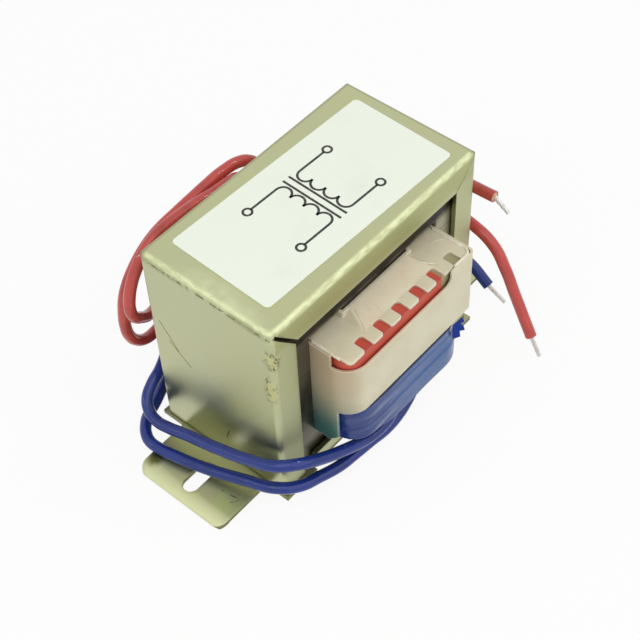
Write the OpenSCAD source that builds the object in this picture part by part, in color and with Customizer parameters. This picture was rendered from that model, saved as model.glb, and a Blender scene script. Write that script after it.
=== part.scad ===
// Small chassis-mount isolation transformer: a laminated core in a folded sheet cover on a base plate
// with two slotted feet. The coil stands out in front and behind. +X runs across the feet, +Z is up.

/* [Core] */
// Width of the centre leg; outer legs, yokes and windows follow from it as in scrapless laminations
tongue_w = 19; // [17:0.5:24]
// Depth of the lamination stack from front to back
stack_d = 30; // [22:1:40]

/* [Cover] */
// Thickness of the cover sheet
sheet_t = 1; // [0.6:0.1:1.2]
// Clearance between the core and the cover's end walls and rims
fit_gap = 0.3; // [0.1:0.05:0.6]
// Clearance between the core and the cover's top
top_gap = 0.9; // [0.1:0.1:1.5]
// Width of the upright rims folded in beside the front and rear openings
rim_w = 6.1; // [4:0.1:8]
// Height of the rims folded down above the front and rear openings
rim_h = 6.7; // [4:0.1:8]
// Inside radius of the cover's bends
bend_in_r = 0.15; // [0.1:0.05:0.8]
// Width of the open mitre between two rims on the left
mitre_gap_left = 0.9; // [0.2:0.1:1.5]
// Width of the closed mitre between two rims on the right
mitre_gap_right = 0.25; // [0.1:0.05:1]

/* [Label] */
// Length of the label across the cover
label_w = 51; // [30:1:52]
// Depth of the label
label_d = 24.6; // [12:0.2:27]
// Thickness of the label
label_t = 0.15; // [0.1:0.05:0.4]
// Radius of the label's corners
label_r = 1; // [0.5:0.1:4]
// Offset of the label to the right of the cover's middle
label_x = 0.7; // [-1:0.1:1.5]
// Offset of the label behind the cover's middle
label_y = -0.1; // [-1:0.1:1]
// Turn of the label in degrees, as it was stuck on
label_turn = -2; // [-3:0.5:3]

/* [Base plate] */
// Thickness of the base plate
base_t = 1; // [0.8:0.1:1.2]
// Outside radius of the base plate's bends
base_bend_r = 1.4; // [1.3:0.1:2.5]
// Reach of the base plate past the cover's end walls
shoulder_x = 0.3; // [0:0.1:2]
// Reach of the base plate past the cover's front and rear faces
shoulder_y = 0.9; // [0.8:0.1:3]
// Height of the lips above the base plate's top
lip_h = 3.6; // [2:0.2:8]
// Length of the lips
lip_w = 41; // [20:1:50]
// Gap that frees each end of a lip from the plate
lip_relief = 0.6; // [0.3:0.1:1.5]
// Reach of each foot from the cover's end wall to its outer edge
foot_reach = 14; // [13:0.1:20]
// Width of each foot
foot_w = 23; // [10:0.5:28]
// Radius of the feet's outer corners
foot_corner_r = 2.5; // [1:0.5:5]
// Inside radius of the curl at the end of each foot
toe_r = 4.3; // [3:0.1:6]
// Height of the base plate's underside above the curled toes' edges
toe_drop = 1; // [0.6:0.1:2]
// Width of the mounting slots
slot_w = 3.5; // [2.5:0.1:5]
// Overall length of the mounting slots
slot_l = 8.2; // [5.5:0.1:9]
// Distance from the cover's end wall to the middle of the slot
slot_reach = 7.7; // [6:0.1:8.5]

/* [Bobbin] */
// Clearance between the centre leg and the bobbin's tube
tube_gap = 0.2; // [0.1:0.05:0.6]
// Wall of the bobbin's tube
tube_wall = 0.6; // [0.5:0.1:1.2]
// Clearance above the tube in the core's window
tube_top_gap = 0.4; // [0.1:0.1:1]
// Thickness of the upper and lower flanges
flange_t = 0.6; // [0.5:0.1:1.2]
// Thickness of the flange between the two windings
divider_t = 1; // [0.6:0.1:1.6]
// Height of the lower winding
secondary_h = 9.9; // [6:0.1:13]
// Depth of the upper flange's top below the tube's rim
comb_drop = 1.3; // [0.5:0.1:2.5]
// Distance from the shroud's face back to the tips of the combs
comb_set_back = 0.75; // [0.7:0.05:1.5]
// Clearance between the ends of the combs and the shroud's side walls
comb_gap = 0.4; // [0:0.1:0.6]
// Radius of the comb flanges' corners
comb_r = 1.1; // [0.5:0.1:3]
// Width of each comb notch
notch_w = 2.4; // [2:0.1:2.8]
// Depth of each comb notch
notch_d = 3.1; // [2.5:0.1:3.5]
// Rounding of the notches' inner corners
notch_r = 0.7; // [0.2:0.1:0.9]
// Distance between neighbouring notches
notch_pitch = 5.35; // [5:0.05:7]
// Sideways shift of the comb to the right of the middle
comb_shift = 0.9; // [0:0.1:1]
// Rounding of the comb teeth's corners
tooth_r = 0.5; // [0.2:0.1:1]
// Inset of each end of the ramps' upper edges, which makes them slant
ramp_inset = 1.9; // [0:0.1:4]

/* [Shroud] */
// Wall of the shroud
shroud_t = 0.5; // [0.4:0.05:0.7]
// Clearance between the shroud and the core's outer legs
shroud_gap = 0.2; // [0.1:0.05:0.5]
// Reach of the shroud past the core's front and rear faces
coil_reach = 9.8; // [9.2:0.1:13]
// Outside radius of the shroud's left upright corners
shroud_r = 5; // [4:0.1:5.2]
// Outside radius of the shroud's right upright corners
shroud_right_r = 1.2; // [1:0.1:4]
// Height of the slit between the comb and the shroud's front wall
slit_h = 3.3; // [2:0.1:4.5]
// Distance from the middle to the slit's right end
slit_end = 11.5; // [5:0.1:15]
// Rounding of the slit's lower right corner
slit_r = 1.6; // [0.5:0.1:1.9]
// Reach of the shroud's lower side plates short of its front
cheek_set_back = 3.8; // [3:0.1:5]
// Chamfer of the side plates' lower front corners
cheek_chamfer = 2.2; // [0.5:0.1:3.5]

/* [Windings] */
// Thickness of the tape wraps
tape_t = 0.4; // [0.2:0.05:0.6]
// Width of the tape that is folded over a winding's end
tape_fold = 4; // [3.7:0.1:5]
// Distance from the combs' edges back to the upper tape
tape_gap = 0.3; // [0.2:0.05:0.5]
// Radius of the upper tape's corners
tape_r = 3; // [2:0.1:3.5]
// Radius of the lower tape's corners
lower_tape_r = 4; // [2:0.1:5]
// Distance that the lower tape stands out past the upper one at front and rear
lower_bulge = 0.95; // [0:0.05:1]

/* [Leads] */
// Diameter of the leads over their insulation
lead_d = 2.5; // [2.4:0.05:2.5]
// Diameter of the bare tips
tip_d = 1; // [0.6:0.1:1.4]

/* [Hidden] */
$fn = 48;
cut = 1;

base_top = toe_drop + base_t;
half_leg = tongue_w / 2;
core_w = 3 * tongue_w;
window_x = 2 * half_leg;
window_h = 1.5 * tongue_w;
window_z0 = base_top + half_leg;
window_z1 = window_z0 + window_h;
core_top = window_z1 + half_leg;

cover_w = core_w + 2 * (fit_gap + sheet_t);
cover_d = stack_d + 2 * (fit_gap + sheet_t);
cover_top = core_top + top_gap + sheet_t;
cover_h = cover_top - base_top;
bend_r = sheet_t + bend_in_r;

lip_in = stack_d / 2 + base_bend_r - base_t;
plate_x = cover_w / 2 + shoulder_x;
plate_y = max(cover_d / 2 + shoulder_y, lip_in + base_t + shoulder_y / 2);
foot_x = cover_w / 2 + foot_reach;
slot_x = cover_w / 2 + slot_reach;
toe_angle = acos(1 - toe_drop / toe_r);
toe_x = foot_x - (toe_r + base_t) * sin(toe_angle);

tube_x = half_leg + tube_gap + tube_wall;
tube_y = stack_d / 2 + tube_gap + tube_wall;
tube_top = window_z1 - tube_top_gap;
comb_top = tube_top - comb_drop;
comb_z = comb_top - flange_t;
secondary_z = window_z0 + flange_t;
divider_z = secondary_z + secondary_h;
primary_z = divider_z + divider_t;

shroud_x = window_x - shroud_gap;
shroud_y = stack_d / 2 + coil_reach;
comb_x = shroud_x - shroud_t - comb_gap;
comb_y = shroud_y - comb_set_back;
shroud_wall_top = comb_top - slit_h;
primary_x = comb_x - tape_gap;
primary_y = comb_y - tape_gap;
secondary_y = primary_y + lower_bulge;
notch_n = floor((2 * comb_x - notch_w) / notch_pitch);

// Middle lines of the leads, from the coil to the cut end, then of their bare tips
red_1 = [[3.6, 22.4, 37.7], [3.6, 22.4, 38.3], [3.2, 22.2, 40.3], [1.9, 21.8, 42], [-0.1, 21.5, 42.9],
    [-5, 21.5, 43.5], [-9.5, 21.9, 43.8], [-13.5, 22.2, 43.8], [-17.5, 22.4, 43.6], [-20.9, 22.5, 43],
    [-23.8, 22.5, 41.4], [-26.2, 22.5, 38.9], [-28, 22.5, 36.1], [-29.2, 22.4, 33.1], [-29.6, 22.4, 30.2],
    [-29, 22.6, 27.4], [-27.2, 23.1, 24.9], [-23.9, 24.2, 22], [-18.8, 26.2, 20.2], [-12, 27.4, 20],
    [14, 27.3, 25], [26, 23.9, 29], [33, 15.2, 32.6], [34.7, 3, 34.2], [34.6, -18, 36]];
red_1_end = [[34.6, -18, 36], [34.6, -21.6, 33.6]];
red_2 = [[8.9, 22.4, 37.7], [8.9, 22.4, 38.3], [8.5, 22.6, 40.3], [7.2, 23.1, 42], [5.2, 23.8, 42.9],
    [0.4, 24.4, 43.2], [-4.4, 24.4, 43], [-8.5, 24.5, 42.5], [-12.7, 24.7, 41.8], [-16, 24.8, 41.3],
    [-19.2, 24.9, 40.3], [-22.2, 25, 38.5], [-24.9, 25.1, 36], [-27, 25.2, 33.2], [-28.3, 25.4, 30],
    [-29, 25.5, 26.4], [-29.3, 25.5, 22.8], [-28.9, 25.4, 19.2], [-27.3, 25.4, 16.1], [-24.7, 25.6, 14],
    [-21.2, 26.2, 13.1], [-16, 27, 13.5], [-11, 27.4, 14.5], [15, 27.3, 18.8], [29.4, 21.6, 23.2],
    [34.4, 11, 25.4], [34.4, -3, 26], [33.8, -14, 25.7], [33.5, -19.4, 23.5], [33.3, -23, 18.8],
    [33.1, -26, 13.2], [32, -31.7, 4.7]];
red_2_end = [[32, -31.7, 4.7], [31.5, -34.6, 0.7]];
blue_1 = [[-1.8, -22.4, 12.1], [-1.8, -22.4, 10.6], [-2.5, -22.4, 8.7], [-4.2, -22.5, 7.1],
    [-6.8, -22.6, 6.3], [-10, -22.6, 6.6], [-13.4, -22.4, 7.6], [-17.4, -22, 9.3], [-23.4, -21, 12],
    [-28.8, -19.5, 14.7], [-31.9, -16.6, 14.9], [-33, -10.6, 12.6], [-33.7, -2.6, 9.9], [-34.4, 6.2, 7.8],
    [-34.9, 10.6, 6.7], [-35, 13.6, 6.3], [-34.4, 16.3, 6.7], [-32.9, 18.3, 7.8], [-30.3, 19.4, 9.1],
    [-26.9, 20.2, 10.1], [-22.6, 22.4, 10.4], [-16.8, 26.1, 10.6], [-5, 27.7, 11], [13, 27.3, 11.4],
    [25.6, 23.8, 12], [32.6, 15.4, 12.9], [34.9, 4, 13.2], [34.8, -12.6, 12.6], [34.7, -18.3, 9]];
blue_1_end = [[34.7, -18.3, 9], [34.7, -22.8, 6.7]];
blue_2 = [[3.6, -22.4, 12.1], [3.6, -22.4, 9.8], [2.9, -22.4, 7.9], [1.2, -22.4, 6], [-1.6, -22.5, 4.5],
    [-5.6, -22.4, 3.6], [-10, -22, 3.8], [-14.4, -21.7, 4.1], [-18.8, -21.3, 4.4], [-23.6, -20.3, 5.2],
    [-28.6, -19.2, 6.6], [-32, -16.6, 7.4], [-34, -9.6, 5.8], [-36.2, -0.6, 4.1], [-37.6, 6, 3.6],
    [-38.3, 10.4, 3.4], [-38.2, 13, 3.3], [-37.3, 15, 3.3], [-35.7, 16.7, 3.3], [-33.8, 18, 3.2],
    [-30, 19.4, 3.1], [-22.6, 22.4, 4.4], [-16, 26.2, 4.6], [-5, 27.8, 3.2], [11, 27.6, 1.4]];
blue_2_end = [[11, 27.6, 1.4], [15.6, 27.5, 0.7]];

tube_sides = 8;

// Rectangle about the origin with round corners
module round_rect(w, d, r) {
    square([w - 2 * r, d], center = true);
    square([w, d - 2 * r], center = true);
    for (sx = [-1, 1], sy = [-1, 1])
        translate([sx * (w / 2 - r), sy * (d / 2 - r)])
            circle(r);
}

// Section of a box that is open below, with its two upper corners round
module arch(w, h, r) {
    translate([-w / 2, 0])
        square([w, h - r]);
    translate([-w / 2 + r, 0])
        square([w - 2 * r, h]);
    for (side = [-1, 1])
        translate([side * (w / 2 - r), h - r])
            circle(r);
}

// Box whose upright and upper edges are round
module soft_box(w, d, h, r) {
    intersection() {
        linear_extrude(h)
            round_rect(w, d, r);
        rotate([90, 0, 0])
            linear_extrude(d + cut, center = true)
                arch(w, h, r);
        rotate([90, 0, 90])
            linear_extrude(w + cut, center = true)
                arch(d, h, r);
    }
}

// Folded cover: top, end walls and the rims round the front and rear openings
module cover() {
    open_w = cover_w - 2 * rim_w;
    open_h = cover_h - rim_h;
    mitre_l = norm([rim_w, rim_h]) - bend_r * sqrt(2);
    color("#b8bb8f")
        translate([0, 0, base_top])
            difference() {
                soft_box(cover_w, cover_d, cover_h, bend_r);
                translate([0, 0, -cut])
                    soft_box(cover_w - 2 * sheet_t, cover_d - 2 * sheet_t, cover_h - sheet_t + cut, bend_in_r);
                translate([-open_w / 2, -cover_d, -cut])
                    cube([open_w, 2 * cover_d, open_h + cut]);
                for (side = [-1, 1])
                    translate([side * open_w / 2, 0, open_h])
                        rotate([0, side * atan2(rim_w, rim_h), 0])
                            translate([0, 0, mitre_l / 2])
                                mitre(side < 0 ? mitre_gap_left : mitre_gap_right, mitre_l);
            }
}

// Cut between two rims that meet at a corner, through the front and the rear rim only
module mitre(gap, length) {
    for (face = [-1, 1])
        translate([0, face * cover_d / 2, 0])
            cube([gap, 3 * sheet_t, length + gap], center = true);
}

// Section of a foot: flat, then curled down to the edge that the part stands on
module foot_section() {
    translate([plate_x - shoulder_x - foot_reach / 2, toe_drop])
        square([toe_x - plate_x + shoulder_x + foot_reach / 2, base_t]);
    translate([toe_x, toe_drop - toe_r])
        intersection() {
            difference() {
                circle(toe_r + base_t);
                circle(toe_r);
            }
            polygon([[0, 0], [0, 3 * toe_r], [3 * toe_r * tan(toe_angle), 3 * toe_r]]);
        }
}

// One foot with its mounting slot, on the +X side
module foot() {
    difference() {
        intersection() {
            rotate([90, 0, 0])
                linear_extrude(foot_w, center = true)
                    foot_section();
            linear_extrude(base_top + cut)
                round_rect(2 * foot_x, foot_w, foot_corner_r);
        }
        translate([slot_x, 0, -cut])
            linear_extrude(base_top + 2 * cut) {
                square([slot_l - slot_w, slot_w], center = true);
                for (end = [-1, 1])
                    translate([end * (slot_l - slot_w) / 2, 0])
                        circle(slot_w / 2);
            }
    }
}

// Lip folded up along the core, in front
module lip() {
    bend_x = base_t - base_bend_r;
    translate([0, -lip_in, toe_drop])
        rotate([90, 0, -90])
            linear_extrude(lip_w, center = true) {
                translate([bend_x - base_bend_r, 0])
                    square([base_bend_r, base_t]);
                translate([0, base_bend_r])
                    square([base_t, base_t + lip_h - base_bend_r]);
                translate([bend_x, base_bend_r])
                    intersection() {
                        difference() {
                            circle(base_bend_r);
                            circle(base_bend_r - base_t);
                        }
                        translate([0, -2 * base_bend_r])
                            square(2 * base_bend_r);
                    }
            }
}

// Base plate: field under the core, two slotted feet and two lips
module base_plate() {
    color("#b3b68c") {
        translate([0, 0, toe_drop])
            linear_extrude(base_t)
                difference() {
                    square([2 * plate_x, 2 * plate_y], center = true);
                    for (side = [-1, 1])
                        translate([0, side * (lip_in + base_t - base_bend_r + plate_y)])
                            square([lip_w + 2 * lip_relief, 2 * plate_y], center = true);
                }
        for (side = [0, 1])
            mirror([side, 0, 0])
                foot();
        for (side = [0, 1])
            mirror([0, side, 0])
                lip();
    }
}

// Label stuck on the cover's top, slightly askew
module label() {
    color("#e8f0e6")
        translate([label_x, label_y, cover_top])
            rotate([0, 0, label_turn])
                linear_extrude(label_t)
                    round_rect(label_w, label_d, label_r);
}

// Stack of E laminations: upper yoke and three legs
module core_e_stack() {
    color("#4a4038")
        rotate([90, 0, 0])
            linear_extrude(stack_d, center = true)
                difference() {
                    translate([-core_w / 2, window_z0])
                        square([core_w, core_top - window_z0]);
                    for (side = [-1, 1])
                        translate([side * 1.5 * half_leg - half_leg / 2, window_z0 - cut])
                            square([half_leg, window_h + cut]);
                }
}

// Stack of I laminations: lower yoke
module core_i_stack() {
    color("#4a4038")
        translate([-core_w / 2, -stack_d / 2, base_top])
            cube([core_w, stack_d, window_z0 - base_top]);
}

// Plan of one comb notch that opens towards -Y at y = 0, with the teeth beside it rounded
module notch() {
    half_w = notch_w / 2;
    translate([-half_w, -cut])
        square([notch_w, notch_d - notch_r + cut]);
    translate([notch_r - half_w, 0])
        square([notch_w - 2 * notch_r, notch_d]);
    for (side = [-1, 1])
        translate([side * (half_w - notch_r), notch_d - notch_r])
            circle(notch_r);
    difference() {
        translate([-half_w - tooth_r, -cut])
            square([notch_w + 2 * tooth_r, tooth_r + cut]);
        for (side = [-1, 1])
            translate([side * (half_w + tooth_r), tooth_r])
                circle(tooth_r);
    }
}

// Flange with a comb of notches along its front and rear edges
module comb_flange() {
    linear_extrude(flange_t)
        difference() {
            round_rect(2 * comb_x, 2 * comb_y, comb_r);
            for (i = [0:notch_n - 1], side = [0, 1])
                translate([comb_shift + (i - (notch_n - 1) / 2) * notch_pitch, 0])
                    mirror([0, side])
                        translate([0, -comb_y])
                            notch();
        }
}

// Ramps from the tube's rim down to the upper combs, with slanting ends
module ramps() {
    ramp_y = comb_y - notch_d;
    ramp_x = tube_x - ramp_inset;
    intersection() {
        rotate([90, 0, 90])
            linear_extrude(2 * tube_x, center = true)
                polygon([[-ramp_y, comb_top], [-tube_y, tube_top], [tube_y, tube_top], [ramp_y, comb_top]]);
        rotate([90, 0, 0])
            linear_extrude(2 * comb_y, center = true)
                polygon([[-tube_x, comb_top], [-ramp_x, tube_top], [ramp_x, tube_top], [tube_x, comb_top]]);
    }
}

// Bobbin: tube round the centre leg, combed upper and lower flanges, divider and ramps to the combs
module bobbin() {
    color("#d6d0ba")
        difference() {
            union() {
                translate([-tube_x, -tube_y, window_z0])
                    cube([2 * tube_x, 2 * tube_y, tube_top - window_z0]);
                translate([0, 0, window_z0])
                    comb_flange();
                translate([0, 0, divider_z])
                    linear_extrude(divider_t)
                        shroud_plan(shroud_t);
                translate([0, 0, comb_z])
                    comb_flange();
                ramps();
            }
            translate([-tube_x + tube_wall, -tube_y + tube_wall, window_z0 - cut])
                cube([2 * (tube_x - tube_wall), 2 * (tube_y - tube_wall), window_h + 2 * cut]);
        }
}

// Coil of enamelled wire on the bobbin's tube
module coil(half_d, r, z, height) {
    translate([0, 0, z])
        linear_extrude(height)
            difference() {
                round_rect(2 * (primary_x - tape_t), 2 * (half_d - tape_t), r - tape_t);
                square([2 * tube_x, 2 * tube_y], center = true);
            }
}

// Tape round a coil from z up, folded over its upper end
module wrap(half_d, r, z, height) {
    translate([0, 0, z])
        difference() {
            linear_extrude(height)
                round_rect(2 * primary_x, 2 * half_d, r);
            translate([0, 0, -cut])
                linear_extrude(height - tape_t + cut)
                    round_rect(2 * (primary_x - tape_t), 2 * (half_d - tape_t), r - tape_t);
            linear_extrude(height + cut)
                square([2 * (primary_x - tape_fold), 2 * (half_d - tape_fold)], center = true);
        }
}

// Upper winding
module primary_winding() {
    color("#9c5a32")
        coil(primary_y, tape_r, primary_z, comb_z - primary_z - tape_t);
}

// Red tape round the upper winding, folded over its top
module primary_tape() {
    color("#be373a")
        wrap(primary_y, tape_r, primary_z, comb_z - primary_z);
}

// Lower winding
module secondary_winding() {
    color("#9c5a32")
        coil(secondary_y, lower_tape_r, secondary_z + tape_t, secondary_h - tape_t);
}

// Blue tape round the lower winding, folded over its underside
module secondary_tape() {
    color("#3c559b")
        translate([0, 0, secondary_z + divider_z])
            mirror([0, 0, 1])
                wrap(secondary_y, lower_tape_r, secondary_z, secondary_h);
}

// Plan of the shroud drawn in by an inset: left corners round, right ones nearly square
module shroud_plan(inset) {
    x = shroud_x - inset;
    y = shroud_y - inset;
    left_r = shroud_r - inset;
    right_r = shroud_right_r - inset;
    polygon([[-x, left_r - y], [left_r - x, -y], [x - right_r, -y], [x, right_r - y],
        [x, y - right_r], [x - right_r, y], [left_r - x, y], [-x, y - left_r]]);
    for (side = [-1, 1]) {
        translate([left_r - x, side * (y - left_r)])
            circle(left_r);
        translate([x - right_r, side * (y - right_r)])
            circle(right_r);
    }
}

// Section of the slit above the front wall, seen from the front: open to the left, rounded at its right end
module slit_section() {
    left = -shroud_x - cut;
    height = slit_h + cut;
    translate([left, 0])
        square([slit_end - slit_r - left, height]);
    translate([left, slit_r])
        square([slit_end - left, height - slit_r]);
    translate([slit_end - slit_r, slit_r])
        circle(slit_r);
}

// Front half of the shroud: wall in front of the upper winding and two side plates that run on down
module front_shroud() {
    color("#d8d2bc")
        shroud_half();
}

// Rear half of the shroud
module rear_shroud() {
    color("#d8d2bc")
        mirror([0, 1, 0])
            shroud_half();
}

module shroud_half() {
    cheek_y = shroud_y - cheek_set_back;
    difference() {
        translate([0, 0, window_z0])
            linear_extrude(comb_top - window_z0)
                difference() {
                    shroud_plan(0);
                    shroud_plan(shroud_t);
                    translate([-shroud_x - cut, 0])
                        square([2 * (shroud_x + cut), shroud_y + cut]);
                }
        translate([0, shroud_r - shroud_y, shroud_wall_top])
            rotate([90, 0, 0])
                linear_extrude(shroud_r + cut)
                    slit_section();
        translate([-shroud_x - cut, -shroud_y - cut, 0])
            cube([2 * (shroud_x + cut), cheek_set_back + cut, divider_z]);
        rotate([90, 0, 90])
            linear_extrude(2 * (shroud_x + cut), center = true)
                polygon([[-cheek_y - cut, window_z0 - cut], [-cheek_y - cut, window_z0 + cheek_chamfer + cut],
                    [-cheek_y + cheek_chamfer + cut, window_z0 - cut]]);
    }
}

function unit(v) = v / norm(v);

function heading(path, i) =
    i == 0 ? unit(path[1] - path[0]) :
    i == len(path) - 1 ? unit(path[i] - path[i - 1]) :
    unit(unit(path[i + 1] - path[i]) + unit(path[i] - path[i - 1]));

// Sideways direction at a point, carried along the path so that the tube doesn't twist
function sideways(path, i) =
    let (t = heading(path, i), s = i == 0 ? [1, 0, 0] : sideways(path, i - 1))
    unit(s - (s * t) * t);

function ring(path, i, r) =
    let (s = sideways(path, i), u = cross(heading(path, i), s))
    [for (k = [0:tube_sides - 1]) path[i] + r * (cos(k * 360 / tube_sides) * s + sin(k * 360 / tube_sides) * u)];

// Round tube along a path
module tube(path, d) {
    n = tube_sides;
    last = (len(path) - 1) * n;
    points = [for (i = [0:len(path) - 1]) each ring(path, i, d / 2)];
    sides = [for (i = [0:len(path) - 2], k = [0:n - 1], half = [0, 1])
        let (a = i * n + k, b = i * n + (k + 1) % n)
        half == 0 ? [a, a + n, b] : [b, a + n, b + n]];
    start = [for (k = [0:n - 1]) k];
    end = [for (k = [n - 1:-1:0]) last + k];
    polyhedron(points, concat([start, end], sides));
}

// Leads with coloured insulation
module red_lead_1() {
    color("#be3a3c")
        tube(red_1, lead_d);
}

module red_lead_2() {
    color("#be3a3c")
        tube(red_2, lead_d);
}

module blue_lead_1() {
    color("#2d3796")
        tube(blue_1, lead_d);
}

module blue_lead_2() {
    color("#2d3796")
        tube(blue_2, lead_d);
}

// Bare tinned ends of the leads
module red_tip_1() {
    color("#c9c9c6")
        tube(red_1_end, tip_d);
}

module red_tip_2() {
    color("#c9c9c6")
        tube(red_2_end, tip_d);
}

module blue_tip_1() {
    color("#c9c9c6")
        tube(blue_1_end, tip_d);
}

module blue_tip_2() {
    color("#c9c9c6")
        tube(blue_2_end, tip_d);
}

cover();
base_plate();
label();
core_e_stack();
core_i_stack();
bobbin();
primary_winding();
primary_tape();
secondary_winding();
secondary_tape();
front_shroud();
rear_shroud();
red_lead_1();
red_lead_2();
blue_lead_1();
blue_lead_2();
red_tip_1();
red_tip_2();
blue_tip_1();
blue_tip_2();
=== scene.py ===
"""Isolation transformer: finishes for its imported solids, its wire leads and the small loose details on it."""

import math
from functools import partial

import bmesh
import bpy
from bpy.props import FloatProperty, FloatVectorProperty, PointerProperty
from bpy.types import NodeSocket, Operator, Panel, PropertyGroup
from mathutils import Matrix, Vector, noise


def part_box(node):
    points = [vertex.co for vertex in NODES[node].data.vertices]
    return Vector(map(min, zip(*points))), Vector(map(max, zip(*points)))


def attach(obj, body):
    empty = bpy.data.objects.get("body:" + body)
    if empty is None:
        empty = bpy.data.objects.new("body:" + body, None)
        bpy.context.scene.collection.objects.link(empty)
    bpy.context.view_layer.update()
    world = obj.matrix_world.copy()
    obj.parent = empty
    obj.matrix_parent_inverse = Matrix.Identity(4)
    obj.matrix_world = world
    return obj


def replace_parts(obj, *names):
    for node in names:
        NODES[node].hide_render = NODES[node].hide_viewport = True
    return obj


bl_info = {
    "name": "Isolation Transformer",
    "version": (1, 0, 0),
    "blender": (4, 5, 0),
    "location": "3D View > Sidebar > Transformer",
    "description": "Dresses a chassis-mount isolation transformer and lays its leads",
    "category": "Object",
}

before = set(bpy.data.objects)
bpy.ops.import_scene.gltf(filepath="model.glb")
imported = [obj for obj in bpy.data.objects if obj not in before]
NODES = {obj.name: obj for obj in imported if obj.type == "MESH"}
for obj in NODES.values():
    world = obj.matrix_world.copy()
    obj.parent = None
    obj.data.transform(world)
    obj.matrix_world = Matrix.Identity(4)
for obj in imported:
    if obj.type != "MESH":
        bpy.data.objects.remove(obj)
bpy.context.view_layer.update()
BODY = "root"
MM = 0.001

# Leads in millimetres: length, far end of the bare tip, and middle line from the coil to the cut end
LEADS = {
    "red_lead_1": (153, (34.6, -21.6, 33.6), [
        (3.6, 22.4, 37.7), (3.6, 22.4, 38.3), (3.2, 22.2, 40.3), (1.9, 21.8, 42), (-0.1, 21.5, 42.9),
        (-5, 21.5, 43.5), (-9.5, 21.9, 43.8), (-13.5, 22.2, 43.8), (-17.5, 22.4, 43.6), (-20.9, 22.5, 43),
        (-23.8, 22.5, 41.4), (-26.2, 22.5, 38.9), (-28, 22.5, 36.1), (-29.2, 22.4, 33.1),
        (-29.6, 22.4, 30.2), (-29, 22.6, 27.4), (-27.2, 23.1, 24.9), (-23.9, 24.2, 22), (-18.8, 26.2, 20.2),
        (-12, 27.4, 20), (14, 27.3, 25), (26, 23.9, 29), (33, 15.2, 32.6), (34.7, 3, 34.2),
        (34.6, -18, 36)]),
    "red_lead_2": (187, (31.5, -34.6, 0.7), [
        (8.9, 22.4, 37.7), (8.9, 22.4, 38.3), (8.5, 22.6, 40.3), (7.2, 23.1, 42), (5.2, 23.8, 42.9),
        (0.4, 24.4, 43.2), (-4.4, 24.4, 43), (-8.5, 24.5, 42.5), (-12.7, 24.7, 41.8), (-16, 24.8, 41.3),
        (-19.2, 24.9, 40.3), (-22.2, 25, 38.5), (-24.9, 25.1, 36), (-27, 25.2, 33.2), (-28.3, 25.4, 30),
        (-29, 25.5, 26.4), (-29.3, 25.5, 22.8), (-28.9, 25.4, 19.2), (-27.3, 25.4, 16.1), (-24.7, 25.6, 14),
        (-21.2, 26.2, 13.1), (-16, 27, 13.5), (-11, 27.4, 14.5), (15, 27.3, 18.8), (29.4, 21.6, 23.2),
        (34.4, 11, 25.4), (34.4, -3, 26), (33.8, -14, 25.7), (33.5, -19.4, 23.5), (33.3, -23, 18.8),
        (33.1, -26, 13.2), (32, -31.7, 4.7)]),
    "blue_lead_1": (182, (34.7, -22.8, 6.7), [
        (-1.8, -22.4, 12.1), (-1.8, -22.4, 10.6), (-2.5, -22.4, 8.7), (-4.2, -22.5, 7.1),
        (-6.8, -22.6, 6.3), (-10, -22.6, 6.6), (-13.4, -22.4, 7.6), (-17.4, -22, 9.3), (-23.4, -21, 12),
        (-28.8, -19.5, 14.7), (-31.9, -16.6, 14.9), (-33, -10.6, 12.6), (-33.7, -2.6, 9.9),
        (-34.4, 6.2, 7.8), (-34.9, 10.6, 6.7), (-35, 13.6, 6.3), (-34.4, 16.3, 6.7), (-32.9, 18.3, 7.8),
        (-30.3, 19.4, 9.1), (-26.9, 20.2, 10.1), (-22.6, 22.4, 10.4), (-16.8, 26.1, 10.6), (-5, 27.7, 11),
        (13, 27.3, 11.4), (25.6, 23.8, 12), (32.6, 15.4, 12.9), (34.9, 4, 13.2), (34.8, -12.6, 12.6),
        (34.7, -18.3, 9)]),
    "blue_lead_2": (128, (15.6, 27.5, 0.7), [
        (3.6, -22.4, 12.1), (3.6, -22.4, 9.8), (2.9, -22.4, 7.9), (1.2, -22.4, 6), (-1.6, -22.5, 4.5),
        (-5.6, -22.4, 3.6), (-10, -22, 3.8), (-14.4, -21.7, 4.1), (-18.8, -21.3, 4.4), (-23.6, -20.3, 5.2),
        (-28.6, -19.2, 6.6), (-32, -16.6, 7.4), (-34, -9.6, 5.8), (-36.2, -0.6, 4.1), (-37.6, 6, 3.6),
        (-38.3, 10.4, 3.4), (-38.2, 13, 3.3), (-37.3, 15, 3.3), (-35.7, 16.7, 3.3), (-33.8, 18, 3.2),
        (-30, 19.4, 3.1), (-22.6, 22.4, 4.4), (-16, 26.2, 4.6), (-5, 27.8, 3.2), (11, 27.6, 1.4)]),
}

# Radii in millimetres at the coil's right front corner, where the blue tape has come loose: the tape's own,
# and the rounder ones of the winding and of the bobbin's lower flange, which stay behind it
SLACK_CORNER = 6.9
WINDING_CORNER = 7.3
FLANGE_CORNER = 7.0
FLANGE_THICKNESS = 1.0

# Corners of the blue tape in the order that it is wound: sides of the coil in x and y, radius in millimetres
TAPE_CORNERS = ((1, 1, 4.0), (-1, 1, 4.0), (-1, -1, 6.0), (1, -1, SLACK_CORNER))

# Outline in millimetres, across and up, of the blue tape's torn end, and the plane that it stands in
TORN_OUTLINE = (
    (12.5, 18.4), (12.9, 16.8), (15.4, 15.2), (15.1, 17.3), (16.9, 15.9), (16.4, 17.6), (15.3, 19.5),
    (16.6, 18.8), (16, 20.4), (15.4, 21.2), (12.5, 21.5),
)
TORN_PLANE_Y = -24.9

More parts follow.
